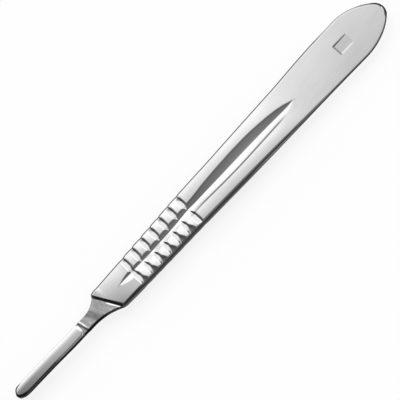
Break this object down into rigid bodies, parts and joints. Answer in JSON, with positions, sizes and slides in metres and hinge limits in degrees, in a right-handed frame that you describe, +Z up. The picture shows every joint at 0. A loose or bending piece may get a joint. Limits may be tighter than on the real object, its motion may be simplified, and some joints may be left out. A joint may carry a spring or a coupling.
{
  "type": "scalpel handle",
  "caption": "Flat one-piece steel scalpel handle with a round end, long central groove, ribbed grip, slanted shoulder and slotted blade key.",
  "frame": {"origin": "on the surface that the handle lies on, under the middle of its length and width", "axes": "+X from the blade key's tip towards the round end, +Y across the handle, +Z up out of the face with the key"},
  "size_m": [0.135, 0.0138, 0.0035],
  "materials": {
    "steel": "satin polished stainless steel, ground matt on the neck"
  },
  "bodies": {
    "root": {"handle": "steel"}
  },
  "joints": []
}
